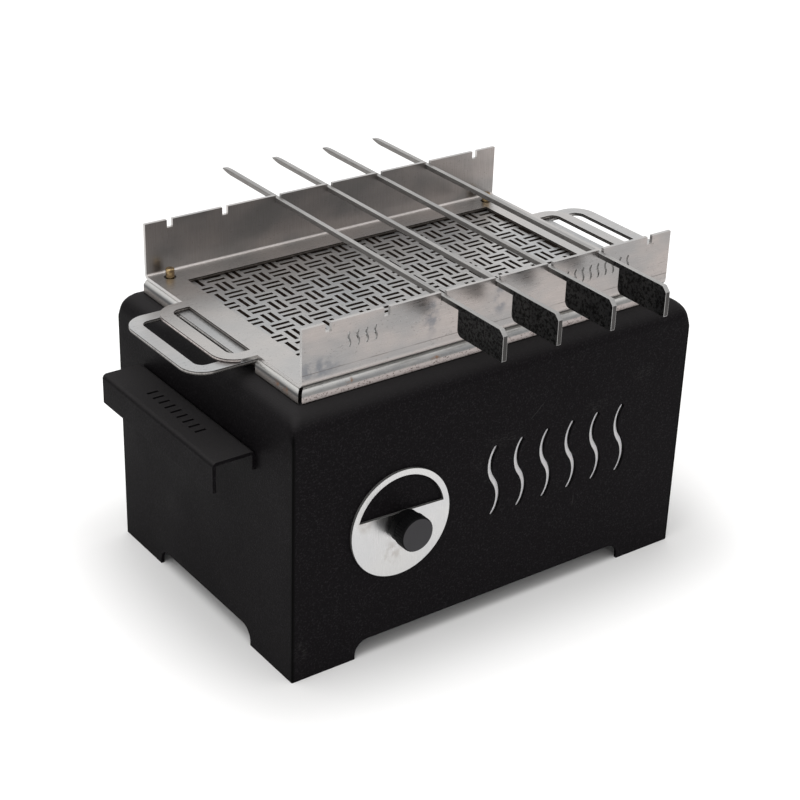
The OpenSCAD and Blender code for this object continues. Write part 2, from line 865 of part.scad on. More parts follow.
// Outline of an end handle on the right and of the finger slot in it
module handle_outline(start, reach, w) {
    panel(start, reach, -w / 2, w / 2, lr = handle_radius, ur = handle_radius);
}

module finger_slot(reach, bar, w, handle_w, arm) {
    half = handle_w / 2 - arm;
    panel(reach - bar - w, reach - bar, -half, half, lr = finger_radius, ur = finger_radius);
}

module pin_places() {
    for (sx = [-1, 1]) {
        for (sy = [-1, 1]) translate([sx * pin_x, sy * pin_y]) children();
    }
}

module cooking_grate() {
    color([0.72, 0.72, 0.73]) in_frame() slab(grate_z, grate_t) difference() {
        union() {
            panel(-grate_x, grate_x, -grate_y, grate_y);
            handle_outline(0, grate_reach, grate_handle_w);
            mirror([1, 0, 0]) handle_outline(0, grate_reach, grate_handle_w);
        }
        woven_slots();
        pin_places() circle(pin_foot_radius + pin_clearance);
        finger_slot(grate_reach, grate_bar, grate_finger_w, grate_handle_w, grate_arm);
        mirror([1, 0, 0])
            finger_slot(grate_reach, grate_bar, grate_finger_w, grate_handle_w, grate_arm);
    }
}

module locating_pins() {
    top = frame_t + pin_stand;
    color([0.72, 0.56, 0.28]) in_frame() pin_places() translate([0, 0, grate_z]) rotate_extrude()
        polygon([[0, 0], [pin_foot_radius, 0], [pin_foot_radius, grate_t], [pin_radius, grate_t],
            [pin_radius, grate_t + top - pin_chamfer], [pin_radius - pin_chamfer, grate_t + top],
            [0, grate_t + top]]);
}

module frame_bend_section() {
    translate([0, frame_z + flange_top]) mirror([0, 1, 0]) translate([-frame_y, frame_z])
        channel(2 * frame_y, flange_h, frame_t, frame_bend, frame_bend);
}

module notches() {
    along_y(-frame_y - over, frame_y + over) {
        for (i = [0 : notch_count - 1]) {
            translate([(i - (notch_count - 1) / 2) * notch_pitch - notch_w / 2, notch_z])
                square([notch_w, notch_depth + over]);
        }
    }
}

module frame_plate_cuts() {
    window_x = frame_x - frame_border_x;
    window_y = frame_y - frame_border_y;
    slab(frame_z - over, frame_t + 2 * over) {
        panel(-window_x, window_x, -window_y, window_y);
        pin_places() circle(pin_radius + pin_hole_gap);
        finger_slot(frame_reach, frame_bar, frame_finger_w, frame_handle_w, frame_arm);
        mirror([1, 0, 0])
            finger_slot(frame_reach, frame_bar, frame_finger_w, frame_handle_w, frame_arm);
    }
}

module small_wave_row(x, count) {
    translate([x, small_wave_z])
        wave_row(count, small_wave_pitch, small_wave_h, small_wave_w, small_wave_bend, small_wave_steps);
}

module flange_marks() {
    along_y(-frame_y - over, -frame_y + frame_t + over) {
        small_wave_row(left_mark_x, left_mark_count);
        small_wave_row(right_mark_x, right_mark_count);
    }
}

module skewer_frame() {
    color([0.76, 0.76, 0.77]) in_frame() difference() {
        union() {
            along_x(-frame_x, frame_x) frame_bend_section();
            slab(frame_z, frame_t) {
                handle_outline(frame_x - over, frame_reach, frame_handle_w);
                mirror([1, 0, 0]) handle_outline(frame_x - over, frame_reach, frame_handle_w);
            }
        }
        frame_plate_cuts();
        notches();
        flange_marks();
    }
}

// Side of a skewer in length and height: the grip plate starts at zero, the point is at the far end
module skewer_side() {
    tip_top = [for (p = tip_top_shares) [skewer_len - p[0] * tip_len, p[1] * blade_h]];
    tip_low = [for (p = tip_low_shares) [skewer_len - p[0] * tip_len, p[1] * blade_h]];
    polygon(concat([[grip_radius, 0]], tip_low, tip_top, [[grip_radius, blade_h]]));
    difference() {
        panel(0, grip_len, blade_h - grip_h, blade_h,
            ll = grip_radius * front_corner_share, lr = grip_radius);
        translate([0, blade_h]) polygon([[-over, -grip_chamfer - over], [grip_chamfer + over, over],
            [-over, over]]);
    }
}

module skewer(i) {
    front_x = skewer_front_shares[i] * skewer_play;
    rear_x = skewer_rear_shares[i] * skewer_play;
    x = (skewer_notches[i] - (notch_count - 1) / 2) * notch_pitch + (front_x + rear_x) / 2;
    turn = atan((front_x - rear_x) / 2 / frame_y);
    color([0.5, 0.49, 0.48]) in_frame() translate([x, 0, notch_z]) rotate(turn)
        translate([0, skewer_starts[i], 0]) along_x(-skewer_t / 2, skewer_t / 2) skewer_side();
}

module skewer_1() {
    skewer(0);
}

module skewer_2() {
    skewer(1);
}

module skewer_3() {
    skewer(2);
}

module skewer_4() {
    skewer(3);
}

outer_housing();
base_plate();
corner_brackets();
base_plate_screws();
left_carry_handle();
right_carry_handle();
left_handle_bolts();
right_handle_bolts();
left_handle_nuts();
right_handle_nuts();
vent_disc();
vent_knob();
vent_stud();
vent_washer();
vent_nut();
insulation_board();
firebox_liner();
front_grate_ledge();
rear_grate_ledge();
front_charcoal_ledge();
rear_charcoal_ledge();
charcoal_grate();
cooking_grate();
locating_pins();
skewer_frame();
skewer_1();
skewer_2();
skewer_3();
skewer_4();
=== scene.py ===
import math

import bmesh
import bpy
from mathutils import Matrix, Vector


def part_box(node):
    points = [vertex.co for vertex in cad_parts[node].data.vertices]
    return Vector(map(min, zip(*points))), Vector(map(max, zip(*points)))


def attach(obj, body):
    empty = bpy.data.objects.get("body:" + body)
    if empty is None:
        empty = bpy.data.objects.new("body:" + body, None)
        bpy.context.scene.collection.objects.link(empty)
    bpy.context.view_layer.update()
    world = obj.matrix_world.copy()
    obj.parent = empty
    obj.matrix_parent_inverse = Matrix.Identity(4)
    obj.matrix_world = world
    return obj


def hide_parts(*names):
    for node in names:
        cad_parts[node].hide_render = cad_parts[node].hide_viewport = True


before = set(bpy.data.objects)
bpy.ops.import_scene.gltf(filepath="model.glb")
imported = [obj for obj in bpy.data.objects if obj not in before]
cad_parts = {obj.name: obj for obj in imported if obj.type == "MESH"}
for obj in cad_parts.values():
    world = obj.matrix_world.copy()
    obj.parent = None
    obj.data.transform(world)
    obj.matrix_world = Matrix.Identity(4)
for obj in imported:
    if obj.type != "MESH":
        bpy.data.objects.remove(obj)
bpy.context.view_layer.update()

MM = 0.001
UP = Vector((0, 0, 1))

# The housing's box, by which the camera, the lamps' aim, the floor's shade and the finishes are placed
housing_low, housing_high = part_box("outer_housing")
housing_mid = (housing_low + housing_high) / 2

# Camera: place and aim from the housing's lowest corner, lens and sensor, all in millimetres; roll in
# degrees; clipping in metres
CAMERA_PLACE = Vector((-646.99, -1004.59, 876.64))
CAMERA_AIM = Vector((524.25, 577.97, -149.08))
CAMERA_ROLL = 1.979
CAMERA_LENS = 83.464
CAMERA_SENSOR = 36
CAMERA_CLIP = (0.05, 50)

# Light: strength of the dome at its foot and overhead, then place, side and power of the soft lamps
DOME_LOW, DOME_HIGH = 0.75, 1.15
DOME_COLOUR = (1, 0.99, 0.98, 1)
KEY_PLACE, KEY_SIZE, KEY_POWER = (-1.2, -0.3, 1.7), 1.2, 9
TOP_PLACE, TOP_SIZE, TOP_POWER = (-0.1, 0.2, 1.9), 1.2, 8

# Floor; the lift is light added in the camera's and reflected rays only, so that open floor is white
FLOOR_SIZE = 12
FLOOR_ALBEDO = 0.65
# The lift is weaker near the housing than far from it, which paints a shadow round its foot
FLOOR_LIFT_NEAR = 0.15
FLOOR_LIFT_FAR = 0.4
FLOOR_SHADE_INSET = 7 * MM
FLOOR_EDGE_FADE = 10 * MM
FLOOR_SHADE_REACH = 120 * MM

# Rounding of the housing's welded top corners
BEND_RADIUS = 18 * MM
BLEND_RADIUS = 6 * MM
BLEND_DEPTH = 1.5 * BEND_RADIUS
BLEND_TOP_SHARE = 0.15
BLEND_LOW_SHARE = 0.5
BLEND_STEP = 1 * MM

# How near points count as one, when a CAD mesh is joined up and when it is cut
WELD_REACH = 0.001 * MM
CUT_REACH = 0.0001 * MM

# Angles between faces, in degrees: joined below it, shaded as sharp above it, rounded above it
FLAT_ANGLE = 0.4
SMOOTH_ANGLE = 40
EDGE_ANGLE = 30
KNOB_EDGE_ANGLE = 35

# Width of the rounded edges, by node; both handles share one, and all skewers
EDGE_WIDTH = {
    "outer_housing": 0.4 * MM,
    "carry_handle": 0.5 * MM,
    "vent_disc": 0.12 * MM,
    "vent_knob": 0.15 * MM,
    "firebox_liner": 0.25 * MM,
    "cooking_grate": 0.07 * MM,
    "locating_pins": 0.15 * MM,
    "skewer_frame": 0.2 * MM,
    "skewer": 0.5 * MM,
}

# Thickness of the grate's and the frame's sheet, and the half sizes in x and y that hold their cuts
PLATE_SHEET = 3 * MM
WINDOW_CUT = (157 * MM, 94 * MM)
FRAME_FINGER_CUTS = (199.5 * MM, 47.5 * MM)
WOVEN_CUTS = (171 * MM, 107 * MM)

# Places along y: where the grip plates end, and the front of the frame's flange
GRIP_END = -142 * MM
FLANGE_FRONT = -122 * MM

# Size of the bend at the foot of the frame's flanges, and how far below the deck the firebox turns dark
FLANGE_BEND = 5 * MM
FIREBOX_DARK_BELOW = 6 * MM

# Shades on the front flange, as heights above its foot; the dark line's fade is the distance from it
# Painted shade in the crevice at the flange's foot
CREVICE_SHADE_FADE = (2.2 * MM, 3.1 * MM)
# Painted light on the bend: a lighter, less metallic tone
BEND_FADE = (3.5 * MM, 7 * MM)
# A faint dark line along the flange
FLANGE_LINE_HEIGHT = 11 * MM
FLANGE_LINE_FADE = (0.15 * MM, 0.6 * MM)

# Shades on the firebox rim, as heights above the housing's top: its foot, its lip, a painted dark
# reflection and a painted highlight; the reflection's fade is the distance from its middle
RIM_FOOT_FADE = (0.5 * MM, 1.4 * MM)
RIM_LIP_FADE = (5.2 * MM, 6.6 * MM)
# Height of the painted dark reflection on the rim
RIM_REFLECTION_HEIGHT = 7.2 * MM
RIM_REFLECTION_FADE = (0.4 * MM, 2.4 * MM)
# Heights where the painted highlight along the rim's top fades in
RIM_HIGHLIGHT_FADE = (8.5 * MM, 11 * MM)

# Places of wear, and of the painted reflections of the skewer grips on the flange, in millimetres in
# the
# shared frame at rest: middle, half sizes, and for a scratch its slope in degrees
FRONT_SCUFFS = (
    ((3, -140, 159), (26, 9, 9)),
    ((-24, -140, 146), (9, 9, 9)),
    ((104, -140, 163), (22, 9, 8)),
    ((150, -140, 181), (18, 9, 9)),
    ((-192, -140, 26), (9, 9, 14)),
)
FRONT_SCRATCHES = (
    ((36, -140, 176), (12, 9, 12), 42),
    ((83, -140, 78), (5, 9, 8), 88),
    ((0, -140, 108), (6, 9, 7), 115),
)
DISC_STAINS = (
    ((-108, -143, 92), (16, 9, 16)),
    ((-135, -143, 128), (9, 9, 14)),
)
# Painted dark reflections of the skewer grips on the front flange
FLANGE_GRIP_REFLECTIONS = (
    ((-168, -124, 262), (26, 9, 12)),
    ((-64, -124, 279), (11, 9, 20)),
    ((3, -124, 278), (9, 9, 18)),
)
RIM_STAINS = (
    ((-184, -93, 242), (9, 5, 4)),
    ((-184, -106, 241), (9, 6, 4)),
    ((-58, -124, 243), (7, 9, 3)),
    ((-139, -124, 245), (5, 9, 3)),
)

# Colours
COAT_TONES = (0.0046, 0.0039, 0.0047), (0.0066, 0.0058, 0.0066)
# Painted light on the coat's faces that look up
COAT_TOP_PAINTED_LIGHT = (0.02, 0.019, 0.0195)
COAT_GRAIN = (0.0215, 0.0198, 0.0218)
# Painted shade on the coat's sides and upright corners
COAT_PAINTED_SHADE = (0.0012, 0.0011, 0.0012)
COAT_WORN = (0.05, 0.049, 0.048)
FLECK = (0.09, 0.08, 0.075)
# Tone of the painted dark reflections of the skewer grips
GRIP_REFLECTION_TONE = (0.16, 0.17, 0.19)
STAIN = (0.3, 0.265, 0.23)
# Painted light on the flange's bend
BEND_PAINTED_LIGHT = (0.52, 0.48, 0.46)
# Tone of the faint dark line on the flange
FLANGE_LINE_TONE = (0.11, 0.1, 0.095)
# Painted shade in the flange's crevice
CREVICE_PAINTED_SHADE = (0.004, 0.004, 0.004)
RIM_TONES = (0.36, 0.355, 0.345), (0.29, 0.293, 0.295)
# Painted highlight along the rim's top
RIM_PAINTED_HIGHLIGHT = (0.62, 0.61, 0.59)
# The rim lip's tone, then its sides painted darker as shade
RIM_LIP_TONE_AND_SIDE_SHADE = (0.45, 0.405, 0.39), (0.2, 0.185, 0.175)
# Painted dark reflection on the rim
RIM_PAINTED_REFLECTION = (0.05, 0.05, 0.05)
RIM_PITS = (0.09, 0.06, 0.055)
RIM_RUST = (0.2, 0.1, 0.05)
RIM_FOOT = (0.02, 0.018, 0.017)
BLADE_TONES = (0.17, 0.162, 0.155), (0.23, 0.22, 0.212)
NECK = (0.02, 0.02, 0.02)
GRIP_TONES = (0.04, 0.04, 0.04), (0.026, 0.026, 0.027)
GRIP_PITS = (0.003, 0.003, 0.003)
BOARD_TONES = (0.95, 0.945, 0.96), (0.88, 0.875, 0.89)
BRASS_TONES = (0.4, 0.29, 0.15), (0.2, 0.135, 0.075)
OXIDE_TONES = (0.012, 0.012, 0.013), (0.03, 0.03, 0.032)

# Steel sheets: warm tone, cool tone, stretch of the grain along x, y and z, roughness, then the
# strength of the dark flecks and of the grain
SHEETS = {
    "frame_steel": ((0.52, 0.5, 0.485), (0.47, 0.465, 0.46), (24, 1, 1), 0.3, 0.25, 0.1),
    "flange_steel": ((0.4, 0.362, 0.345), (0.31, 0.302, 0.3), (24, 1, 1), 0.3, 0.4, 0.1),
    "bend_steel": ((0.62, 0.58, 0.56), (0.55, 0.52, 0.5), (24, 1, 1), 0.42, 0.2, 0.1),
    # The rear flange's inner face: darker tone painted as its dark reflection; the upright grain is its
    # own
    "shaded_rear_steel": ((0.37, 0.335, 0.32), (0.28, 0.267, 0.26), (1, 1, 28), 0.32, 0.35, 0.3),
    "grate_steel": ((0.52, 0.513, 0.507), (0.46, 0.467, 0.474), (30, 1, 1), 0.34, 0.35, 0.3),
    "disc_steel": ((0.6, 0.595, 0.59), (0.57, 0.57, 0.575), (1, 1, 24), 0.3, 0.1, 0.05),
    "ground_steel": ((0.42, 0.41, 0.4), (0.34, 0.335, 0.33), (1, 20, 1), 0.32, 0.35, 0.3),
    "bright_corners": ((0.42, 0.415, 0.41), (0.34, 0.335, 0.33), (1, 20, 1), 0.4, 0.2, 0.3),
    "skewer_ends": ((0.07, 0.067, 0.066), (0.05, 0.048, 0.047), (1, 1, 12), 0.38, 0.35, 0.3),
}

# Cut faces of flat sheets: node that they belong to, tone along the skins, tone of the core
CUT_WALLS = {
    "window_walls": ("skewer_frame", (0.03, 0.024, 0.02), (0.12, 0.105, 0.095)),
    "slot_walls": ("skewer_frame", (0.03, 0.025, 0.022), (0.27, 0.25, 0.235)),
    "frame_edges": ("skewer_frame", (0.04, 0.03, 0.028), (0.55, 0.5, 0.48)),
    "grate_edges": ("cooking_grate", (0.05, 0.047, 0.045), (0.34, 0.325, 0.315)),
}

# Steel browned by heat or by the cutter: dark tone, light tone
SOOTY_STEELS = {
    "heat_darkened_inside": ((0.058, 0.048, 0.041), (0.088, 0.078, 0.071)),
    "burnt_edges": ((0.035, 0.022, 0.016), (0.06, 0.045, 0.036)),
    "cut_edges": ((0.09, 0.088, 0.086), (0.13, 0.128, 0.125)),
}

# Zinc coats: light tone, dark tone, size of the flakes, roughness
ZINC_COATS = {
    "zinc_fasteners": ((0.5, 0.51, 0.54), (0.36, 0.37, 0.39), 1.5 * MM, 0.35),
    "galvanised_sheet": ((0.46, 0.47, 0.48), (0.3, 0.31, 0.32), 9 * MM, 0.45),
}

# The knob's plastic: dark tone, light tone, sheen
PLASTICS = {
    # The knob's sides are painted near-black as shade, darker than its face
    "knob_shaded_sides": ((0.002, 0.002, 0.0022), (0.004, 0.004, 0.0044), 0.06),
    "knob_face": ((0.03, 0.029, 0.032), (0.036, 0.035, 0.038), 0.2),
}

# CAD nodes that keep their shape, by the finish that they get
KEPT_NODES = {
    "white_fibre_board": ("insulation_board",),
    "heat_darkened_inside": (
        "charcoal_grate", "front_grate_ledge", "rear_grate_ledge", "front_charcoal_ledge",
        "rear_charcoal_ledge",
    ),
    "galvanised_sheet": ("base_plate", "corner_brackets"),
    "zinc_fasteners": (
        "base_plate_screws", "left_handle_nuts", "right_handle_nuts", "vent_stud", "vent_washer",
        "vent_nut",
    ),
    "black_fasteners": ("left_handle_bolts", "right_handle_bolts"),
}


def add_camera():
    """Camera at the photograph's angle."""
    data = bpy.data.cameras.new("camera")
    data.lens = CAMERA_LENS
    data.sensor_width = CAMERA_SENSOR
    data.clip_start, data.clip_end = CAMERA_CLIP
    camera = bpy.data.objects.new("camera", data)
    bpy.context.scene.collection.objects.link(camera)
    ahead = (CAMERA_AIM - CAMERA_PLACE).normalized()
    level = ahead.cross(UP).normalized()
    below = ahead.cross(level)
    roll = math.radians(CAMERA_ROLL)
    right = math.cos(roll) * level - math.sin(roll) * below
    down = math.sin(roll) * level + math.cos(roll) * below
    turn = Matrix((right, -down, -ahead)).transposed().to_4x4()
    camera.matrix_world = Matrix.Translation(housing_low + CAMERA_PLACE * MM) @ turn
    bpy.context.scene.camera = camera


class Finish:
    """One procedural material: a Principled shader and the nodes that feed it."""

    def __init__(self, name, **values):
        self.material = bpy.data.materials.new(name)
        self.material.use_nodes = True
        self.tree = self.material.node_tree
        self.shader = self.tree.nodes["Principled BSDF"]
        coordinates = self.add("ShaderNodeTexCoord")
        self.place = coordinates.outputs["Object"]
        self.facing = coordinates.outputs["Normal"]
        for key, value in values.items():
            socket = key.replace("_", " ").title().replace("Ior", "IOR")
            self.shader.inputs[socket].default_value = value

    def add(self, kind):
        return self.tree.nodes.new(kind)

    def feed(self, socket, source):
        """Sets a socket to a number or colour, or links another node's output to it."""
        if isinstance(source, bpy.types.NodeSocket):
            self.tree.links.new(source, socket)
        elif isinstance(source, tuple) and len(source) == 3 and socket.type == "RGBA":
            socket.default_value = (*source, 1)
        else:
            socket.default_value = source

    def drive(self, name, source):
        """Feeds one of the shader's own sockets."""
        self.feed(self.shader.inputs[name], source)

    def axis(self, name, source=None):
        """One coordinate of the surface point, or of another vector."""
        split = self.add("ShaderNodeSeparateXYZ")
        self.feed(split.inputs[0], source or self.place)
        return split.outputs[name]

    def noise(self, size, stretch=(1, 1, 1), detail=2, soft=0.5):
        """Noise with cells about size metres wide, drawn out along each axis by its stretch."""
        mapping = self.add("ShaderNodeMapping")
        mapping.inputs["Scale"].default_value = [1 / (size * s) for s in stretch]
        self.feed(mapping.inputs["Vector"], self.place)
        noise = self.add("ShaderNodeTexNoise")
        noise.inputs["Scale"].default_value = 1
        noise.inputs["Detail"].default_value = detail
        noise.inputs["Roughness"].default_value = soft
        self.feed(noise.inputs["Vector"], mapping.outputs[0])
        return noise.outputs[0]

    def span(self, source, low, high, to_low=0.0, to_high=1.0):
        """Maps low..high smoothly to to_low..to_high."""
        ranged = self.add("ShaderNodeMapRange")
        ranged.interpolation_type = "SMOOTHSTEP"
        limits = {"From Min": low, "From Max": high, "To Min": to_low, "To Max": to_high}
        for name, value in limits.items():
            ranged.inputs[name].default_value = value
        self.feed(ranged.inputs["Value"], source)
        return ranged.outputs[0]

    def math(self, operation, a, b=0.0):
        node = self.add("ShaderNodeMath")
        node.operation = operation
        self.feed(node.inputs[0], a)
        self.feed(node.inputs[1], b)
        return node.outputs[0]

    def times(self, product, *others):
        """Product of all the sources."""
        for source in others:
            product = self.math("MULTIPLY", product, source)
        return product

    def apart(self, source, place):
        """How far a value is from a place on its own scale."""
        return self.math("ABSOLUTE", self.math("SUBTRACT", source, place))

    def mix(self, share, a, b):
        """Colour a, turning into colour b as share goes from 0 to 1."""
        node = self.add("ShaderNodeMix")
        node.data_type = "RGBA"
        self.feed(node.inputs[0], share)
        self.feed(node.inputs[6], a)
        self.feed(node.inputs[7], b)
        return node.outputs[2]

    def spots(self, places):
        """1 in the middle of each of the places, 0 outside its half sizes."""
        total = 0.0
        for middle, half in places:
            mapping = self.add("ShaderNodeMapping")
            mapping.inputs["Scale"].default_value = [1 / (h * MM) for h in half]
            mapping.inputs["Location"].default_value = [-m / h for m, h in zip(middle, half)]
            self.feed(mapping.inputs["Vector"], self.place)
            length = self.add("ShaderNodeVectorMath")
            length.operation = "LENGTH"
            self.feed(length.inputs[0], mapping.outputs[0])
            spot = self.span(length.outputs["Value"], 0.3, 1.0, 1.0, 0.0)
            total = self.math("MAXIMUM", spot, total)
        return total

    def near_walls(self, name, reach):
        """1 at the housing's two walls across an axis, 0 from reach inside them."""
        index = "XYZ".index(name)
        offset = self.apart(self.axis(name), housing_mid[index])
        wall = housing_high[index] - housing_mid[index]
        return self.span(offset, wall - reach, wall - 0.3 * reach)

    def scratch(self, middle, half, slope):
        """Thin line through a spot on a wall that faces front, at a slope in degrees."""
        turn = math.radians(slope)
        leftward = self.times(self.axis("X"), -math.sin(turn))
        upward = self.times(self.axis("Z"), math.cos(turn))
        across = self.math("ADD", leftward, upward)
        offset = (-math.sin(turn) * middle[0] + math.cos(turn) * middle[2]) * MM
        wander = self.times(self.noise(8 * MM), 1.2 * MM)
        from_line = self.apart(self.math("SUBTRACT", across, wander), offset)
        line = self.span(from_line, 0.1 * MM, 0.35 * MM, 1.0, 0.0)
        return self.times(line, self.spots([(middle, half)]))

    def bump(self, height, depth, strength=1.0):
        """Relief of the given depth in metres, laid over any relief before it."""
        node = self.add("ShaderNodeBump")
        node.inputs["Strength"].default_value = strength
        node.inputs["Distance"].default_value = depth
        self.feed(node.inputs["Height"], height)
        before = self.shader.inputs["Normal"]
        if before.is_linked:
            self.feed(node.inputs["Normal"], before.links[0].from_socket)
        self.feed(before, node.outputs[0])


def powder_coat():
    """Matte black coat with a fine sandy grain, painted light on faces that look up, painted shade on
    its sides and corners.
    """
    coat = Finish("black_powder_coat", specular_ior_level=0.03)
    cloud = coat.noise(70 * MM, detail=3)
    grain = coat.noise(1.5 * MM, detail=3, soft=0.75)
    tone = coat.mix(cloud, *COAT_TONES)
    # Painted light: faces that look up are made lighter
    painted_top_light = coat.span(coat.axis("Z", coat.facing), 0.25, 0.95)
    tone = coat.mix(painted_top_light, tone, COAT_TOP_PAINTED_LIGHT)
    speck = coat.times(coat.span(grain, 0.5, 0.7), 0.8)
    tone = coat.mix(speck, tone, COAT_GRAIN)
    # Painted shade: faces along x and the upright corners are made darker
    sideways = coat.math("ABSOLUTE", coat.axis("X", coat.facing))
    tone = coat.mix(coat.span(sideways, 0.6, 0.95, 0.0, 0.35), tone, COAT_PAINTED_SHADE)
    corner = coat.math("MINIMUM", *(coat.near_walls(name, 3.5 * MM) for name in "XY"))
    tone = coat.mix(corner, tone, COAT_PAINTED_SHADE)
    coat.drive("Base Color", coat.mix(coat_wear(coat), tone, COAT_WORN))
    coat.drive("Roughness", coat.span(cloud, 0.3, 0.7, 0.5, 0.58))
    coat.bump(grain, 0.2 * MM)
    return coat.material


def coat_wear(coat):
    """Where the coat is worn: faint scuffs, fine dust and thin scratches."""
    streaks = coat.noise(1.4 * MM, stretch=(4, 4, 1), detail=3, soft=0.7)
    rub = coat.times(coat.span(streaks, 0.45, 0.75), coat.spots(FRONT_SCUFFS), 0.42)
    dust = coat.times(coat.span(coat.noise(0.7 * MM, detail=1), 0.74, 0.8), 0.4)
    worn = coat.math("MAXIMUM", rub, dust)
    for middle, half, slope in FRONT_SCRATCHES:
        worn = coat.math("MAXIMUM", worn, coat.times(coat.scratch(middle, half, slope), 0.6))
    return worn


def sheet_steel(
    name, warm, cool, grain, roughness, speckle, contrast, painted_grip_reflections=(), stains=(), bend_foot=None
):
    """Stainless sheet: mill grain drawn out along one axis, warm and cool clouds, small dark flecks."""
    steel = Finish(name, metallic=1.0)
    clouds = steel.noise(34 * MM, stretch=(1.6, 1.6, 1), detail=3)
    lines = steel.noise(0.7 * MM, stretch=grain, detail=3, soft=0.65)
    flecks = steel.noise(1.1 * MM, stretch=(1.8, 1.8, 1), detail=2)
    where = steel.noise(21 * MM, detail=2)
    tone = steel.mix(steel.span(clouds, 0.35, 0.65), warm, cool)
    grain_tone = tuple(0.55 * value for value in warm)
    tone = steel.mix(steel.span(lines, 0.3, 0.75, 0.0, contrast), tone, grain_tone)
    fleck = steel.times(steel.span(flecks, 0.62, 0.7), steel.span(where, 0.42, 0.6), speckle)
    tone = steel.mix(fleck, tone, FLECK)
    blotch = steel.span(steel.noise(7 * MM, detail=3), 0.35, 0.65)
    # Painted dark reflections of the skewer grips
    if painted_grip_reflections:
        tone = steel.mix(steel.times(steel.spots(painted_grip_reflections), blotch, 0.75), tone, GRIP_REFLECTION_TONE)
    if stains:
        tone = steel.mix(steel.times(steel.spots(stains), blotch, 0.4), tone, STAIN)
    if bend_foot:
        tone = shade_bend(steel, tone, bend_foot)
    steel.drive("Base Color", tone)
    steel.drive("Roughness", steel.span(lines, 0.25, 0.75, roughness - 0.05, roughness + 0.08))
    steel.bump(lines, 0.015 * MM, 0.5)
    steel.bump(steel.noise(9 * MM, detail=2), 0.03 * MM, 0.4)
    return steel.material


def shade_bend(steel, tone, foot):
    """Upright sheet above a bend: painted shade in the crevice at its foot, painted light on the bend,
    a faint dark line above.
    """
    height = steel.math("SUBTRACT", steel.axis("Z"), foot)
    # Painted light: the bend is lighter and less metallic
    tone = steel.mix(steel.span(height, *BEND_FADE, 1.0, 0.0), tone, BEND_PAINTED_LIGHT)
    steel.drive("Metallic", steel.span(height, *BEND_FADE, 0.3, 1.0))
    # A faint dark line, patchy along its length
    worn = steel.span(steel.noise(21 * MM, detail=2), 0.3, 0.6, 0.15, 0.6)
    line = steel.span(steel.apart(height, FLANGE_LINE_HEIGHT), *FLANGE_LINE_FADE, 1.0, 0.0)
    tone = steel.mix(steel.times(line, worn), tone, FLANGE_LINE_TONE)
    # Painted shade in the crevice at the foot
    return steel.mix(steel.span(height, *CREVICE_SHADE_FADE, 1.0, 0.0), tone, CREVICE_PAINTED_SHADE)


def rim_steel():
    """Folded rim: painted highlight on top, grey bend, a painted dark reflection, a pale pitted lip
    painted darker on its sides as shade, rust here and there.
    """
    steel = Finish("rim_steel", metallic=1.0)
    height = steel.math("SUBTRACT", steel.axis("Z"), housing_high.z)
    sideways = steel.math("ABSOLUTE", steel.axis("X", steel.facing))
    lip = steel.span(height, *RIM_LIP_FADE, 1.0, 0.0)
    pits = steel.noise(1.0 * MM, stretch=(1.6, 1.6, 1), detail=2, soft=0.6)
    tone = steel.mix(steel.span(steel.noise(26 * MM, detail=3), 0.35, 0.65), *RIM_TONES)
    # Painted highlight along the top
    tone = steel.mix(steel.span(height, *RIM_HIGHLIGHT_FADE, 0.0, 0.85), tone, RIM_PAINTED_HIGHLIGHT)
    # The lip, its sides painted darker as shade
    tone = steel.mix(lip, tone, steel.mix(sideways, *RIM_LIP_TONE_AND_SIDE_SHADE))
    # Painted dark reflection, strongest on the sides
    band = steel.span(steel.apart(height, RIM_REFLECTION_HEIGHT), *RIM_REFLECTION_FADE, 1.0, 0.0)
    band = steel.times(band, steel.span(sideways, 0.3, 0.8, 0.35, 0.9))
    tone = steel.mix(band, tone, RIM_PAINTED_REFLECTION)
    pitted = steel.times(steel.span(pits, 0.58, 0.66), steel.span(lip, 0.0, 1.0, 0.15, 0.85))
    tone = steel.mix(pitted, tone, RIM_PITS)
    blotch = steel.span(steel.noise(4 * MM, detail=3), 0.4, 0.62)
    tone = steel.mix(steel.times(steel.spots(RIM_STAINS), blotch, 0.75), tone, RIM_RUST)
    tone = steel.mix(steel.span(height, *RIM_FOOT_FADE, 1.0, 0.0), tone, RIM_FOOT)
    steel.drive("Base Color", tone)
    steel.drive("Roughness", steel.span(pits, 0.3, 0.7, 0.32, 0.45))
    steel.bump(pits, 0.03 * MM, 0.6)
    steel.bump(steel.noise(8 * MM, stretch=(3, 3, 1), detail=2), 0.08 * MM, 0.5)
    return steel.material


def skewer_sides():
    """Rolled steel of a skewer's sides: bare along the blade, black and pitted on the grip plate."""
    scale = Finish("skewer_sides", metallic=0.85, specular_ior_level=0.3)
    pits = scale.noise(2.6 * MM, detail=4, soft=0.7)
    cloud = scale.noise(14 * MM, detail=2)
    streaks = scale.noise(0.8 * MM, stretch=(1, 16, 1), detail=2)
    on_grip = scale.span(scale.axis("Y"), GRIP_END - 2 * MM, GRIP_END + 3 * MM, 1.0, 0.0)
    blade = scale.mix(scale.span(streaks, 0.3, 0.7), *BLADE_TONES)
    past_neck = scale.span(scale.axis("Y"), GRIP_END, FLANGE_FRONT + 10 * MM, 0.25, 1.0)
    blade = scale.mix(past_neck, NECK, blade)
    grip = scale.mix(scale.span(cloud, 0.35, 0.65), *GRIP_TONES)
    grip = scale.mix(scale.span(pits, 0.48, 0.56), grip, GRIP_PITS)
    scale.drive("Base Color", scale.mix(on_grip, blade, grip))
    scale.drive("Roughness", scale.span(pits, 0.3, 0.7, 0.42, 0.6))
    scale.bump(scale.times(pits, on_grip), -0.2 * MM)
    return scale.material


